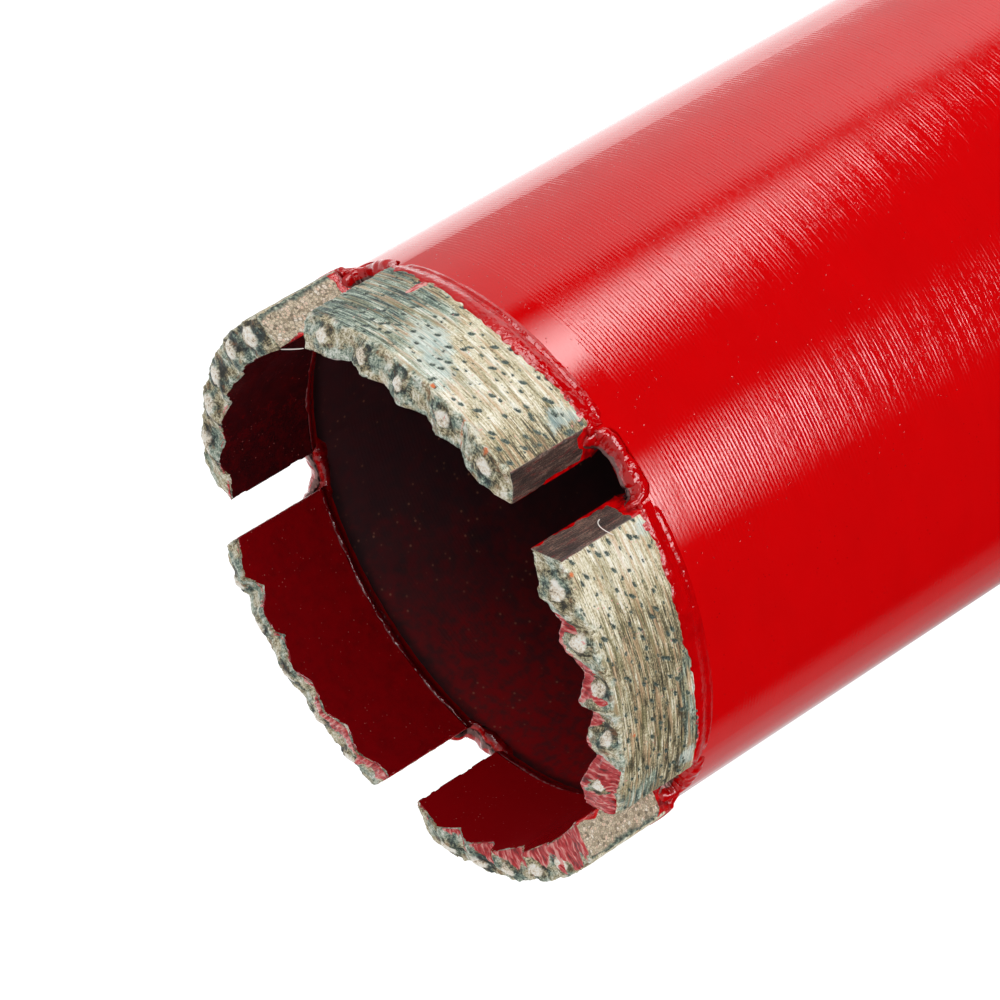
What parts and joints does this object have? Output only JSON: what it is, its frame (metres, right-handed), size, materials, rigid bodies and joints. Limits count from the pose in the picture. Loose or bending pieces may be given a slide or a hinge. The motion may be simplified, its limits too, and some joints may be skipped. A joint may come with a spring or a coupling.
{
  "type": "diamond core bit",
  "caption": "Wet diamond core bit: painted steel tube with toothed diamond segments brazed to its rim and a tapped hexagon hub, for coring concrete and masonry.",
  "frame": {"origin": "centre of the hub's seating face, where the bit stands and meets the spindle's shoulder", "axes": "+Z along the bit's axis from the hub to the crown; one water slot of the crown faces -Y; the hexagon has flats facing +Y and -Y"},
  "size_m": [0.052, 0.0517, 0.3483],
  "materials": {
    "red_paint": "glossy bright red spray paint over turned steel",
    "segment_matrix": "ground sintered metal with diamond grit, pitted and scratched round the axis",
    "braze": "glossy red paint over lumpy solder"
  },
  "bodies": {
    "root": {"barrel": "red_paint", "weld_bead": "red_paint", "hub": "red_paint", "segment_1": "segment_matrix", "segment_2": "segment_matrix", "segment_3": "segment_matrix", "segment_4": "segment_matrix", "segment_5": "segment_matrix", "braze_seam_1": "braze", "braze_seam_2": "braze", "braze_seam_3": "braze", "braze_seam_4": "braze", "braze_seam_5": "braze"}
  },
  "joints": []
}
